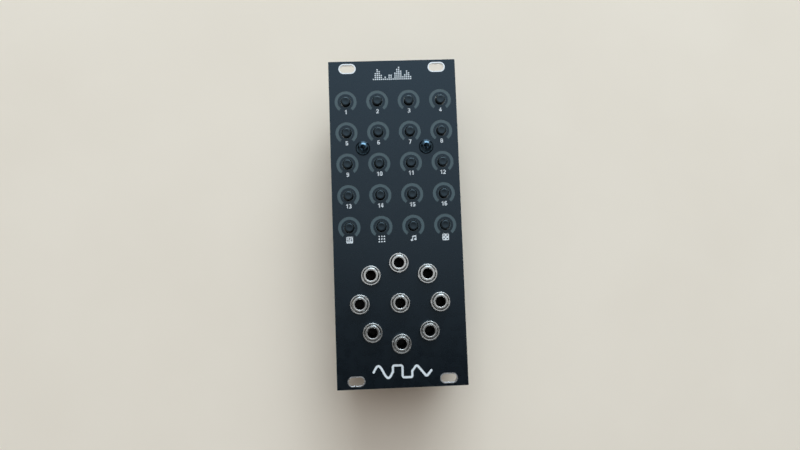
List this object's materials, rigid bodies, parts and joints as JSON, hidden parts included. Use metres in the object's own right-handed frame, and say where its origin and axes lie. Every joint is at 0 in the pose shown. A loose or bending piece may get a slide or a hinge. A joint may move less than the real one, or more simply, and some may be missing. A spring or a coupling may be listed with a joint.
{
  "type": "eurorack module",
  "caption": "Rack synthesiser module: flat black panel with a grid of round push buttons above a ring of jack sockets, on a circuit board with a rear power header.",
  "frame": {"origin": "under the middle of the panel, on the plane that the rear power header and the two capacitors rest on", "axes": "+Z out of the panel's front, +Y towards the panel's top edge, +X to the right seen from the front"},
  "size_m": [0.0506, 0.1284, 0.0259],
  "materials": {
    "panel_black": "black solder mask on glass-epoxy board, satin",
    "board_black": "black solder mask on glass-epoxy board, with soldered switch housings",
    "button_black": "moulded, satin",
    "jack_plastic": "moulded, matte",
    "nickel": "bright nickel plating on turned brass",
    "black_steel": "black oxide on steel, semi-gloss",
    "zinc_steel": "zinc plated",
    "brass": "turned, bright",
    "header_plastic": "moulded, matte",
    "can_aluminium": "bright drawn can",
    "chip_plastic": "moulded epoxy, matte"
  },
  "bodies": {
    "module": {"front_panel": "panel_black", "control_board": "board_black", "jack_housing_1": "jack_plastic", "jack_housing_2": "jack_plastic", "jack_housing_3": "jack_plastic", "jack_housing_4": "jack_plastic", "jack_housing_5": "jack_plastic", "jack_housing_6": "jack_plastic", "jack_housing_7": "jack_plastic", "jack_housing_8": "jack_plastic", "jack_housing_9": "jack_plastic", "jack_bushing_1": "nickel", "jack_bushing_2": "nickel", "jack_bushing_3": "nickel", "jack_bushing_4": "nickel", "jack_bushing_5": "nickel", "jack_bushing_6": "nickel", "jack_bushing_7": "nickel", "jack_bushing_8": "nickel", "jack_bushing_9": "nickel", "jack_nut_1": "nickel", "jack_nut_2": "nickel", "jack_nut_3": "nickel", "jack_nut_4": "nickel", "jack_nut_5": "nickel", "jack_nut_6": "nickel", "jack_nut_7": "nickel", "jack_nut_8": "nickel", "jack_nut_9": "nickel", "panel_screw_left": "black_steel", "panel_screw_right": "black_steel", "standoff_left": "brass", "standoff_right": "brass", "board_screw_left": "zinc_steel", "board_screw_right": "zinc_steel", "power_header": "header_plastic", "capacitor_left": "can_aluminium", "capacitor_right": "can_aluminium", "microcontroller": "chip_plastic", "voltage_regulator": "chip_plastic"},
    "plunger_1": {"button_1": "button_black"},
    "plunger_2": {"button_2": "button_black"},
    "plunger_3": {"button_3": "button_black"},
    "plunger_4": {"button_4": "button_black"},
    "plunger_5": {"button_5": "button_black"},
    "plunger_6": {"button_6": "button_black"},
    "plunger_7": {"button_7": "button_black"},
    "plunger_8": {"button_8": "button_black"},
    "plunger_9": {"button_9": "button_black"},
    "plunger_10": {"button_10": "button_black"},
    "plunger_11": {"button_11": "button_black"},
    "plunger_12": {"button_12": "button_black"},
    "plunger_13": {"button_13": "button_black"},
    "plunger_14": {"button_14": "button_black"},
    "plunger_15": {"button_15": "button_black"},
    "plunger_16": {"button_16": "button_black"},
    "function_plunger_1": {"function_button_1": "button_black"},
    "function_plunger_2": {"function_button_2": "button_black"},
    "function_plunger_3": {"function_button_3": "button_black"},
    "function_plunger_4": {"function_button_4": "button_black"}
  },
  "joints": [
    {"name": "press_1", "type": "slide", "parent": "module", "child": "plunger_1", "axis": [0, 0, -1], "range_m": [0, 0.00025], "stiffness_N_per_m": 6400},
    {"name": "press_2", "type": "slide", "parent": "module", "child": "plunger_2", "axis": [0, 0, -1], "range_m": [0, 0.00025], "stiffness_N_per_m": 6400},
    {"name": "press_3", "type": "slide", "parent": "module", "child": "plunger_3", "axis": [0, 0, -1], "range_m": [0, 0.00025], "stiffness_N_per_m": 6400},
    {"name": "press_4", "type": "slide", "parent": "module", "child": "plunger_4", "axis": [0, 0, -1], "range_m": [0, 0.00025], "stiffness_N_per_m": 6400},
    {"name": "press_5", "type": "slide", "parent": "module", "child": "plunger_5", "axis": [0, 0, -1], "range_m": [0, 0.00025], "stiffness_N_per_m": 6400},
    {"name": "press_6", "type": "slide", "parent": "module", "child": "plunger_6", "axis": [0, 0, -1], "range_m": [0, 0.00025], "stiffness_N_per_m": 6400},
    {"name": "press_7", "type": "slide", "parent": "module", "child": "plunger_7", "axis": [0, 0, -1], "range_m": [0, 0.00025], "stiffness_N_per_m": 6400},
    {"name": "press_8", "type": "slide", "parent": "module", "child": "plunger_8", "axis": [0, 0, -1], "range_m": [0, 0.00025], "stiffness_N_per_m": 6400},
    {"name": "press_9", "type": "slide", "parent": "module", "child": "plunger_9", "axis": [0, 0, -1], "range_m": [0, 0.00025], "stiffness_N_per_m": 6400},
    {"name": "press_10", "type": "slide", "parent": "module", "child": "plunger_10", "axis": [0, 0, -1], "range_m": [0, 0.00025], "stiffness_N_per_m": 6400},
    {"name": "press_11", "type": "slide", "parent": "module", "child": "plunger_11", "axis": [0, 0, -1], "range_m": [0, 0.00025], "stiffness_N_per_m": 6400},
    {"name": "press_12", "type": "slide", "parent": "module", "child": "plunger_12", "axis": [0, 0, -1], "range_m": [0, 0.00025], "stiffness_N_per_m": 6400},
    {"name": "press_13", "type": "slide", "parent": "module", "child": "plunger_13", "axis": [0, 0, -1], "range_m": [0, 0.00025], "stiffness_N_per_m": 6400},
    {"name": "press_14", "type": "slide", "parent": "module", "child": "plunger_14", "axis": [0, 0, -1], "range_m": [0, 0.00025], "stiffness_N_per_m": 6400},
    {"name": "press_15", "type": "slide", "parent": "module", "child": "plunger_15", "axis": [0, 0, -1], "range_m": [0, 0.00025], "stiffness_N_per_m": 6400},
    {"name": "press_16", "type": "slide", "parent": "module", "child": "plunger_16", "axis": [0, 0, -1], "range_m": [0, 0.00025], "stiffness_N_per_m": 6400},
    {"name": "press_function_1", "type": "slide", "parent": "module", "child": "function_plunger_1", "axis": [0, 0, -1], "range_m": [0, 0.00025], "stiffness_N_per_m": 6400},
    {"name": "press_function_2", "type": "slide", "parent": "module", "child": "function_plunger_2", "axis": [0, 0, -1], "range_m": [0, 0.00025], "stiffness_N_per_m": 6400},
    {"name": "press_function_3", "type": "slide", "parent": "module", "child": "function_plunger_3", "axis": [0, 0, -1], "range_m": [0, 0.00025], "stiffness_N_per_m": 6400},
    {"name": "press_function_4", "type": "slide", "parent": "module", "child": "function_plunger_4", "axis": [0, 0, -1], "range_m": [0, 0.00025], "stiffness_N_per_m": 6400}
  ]
}
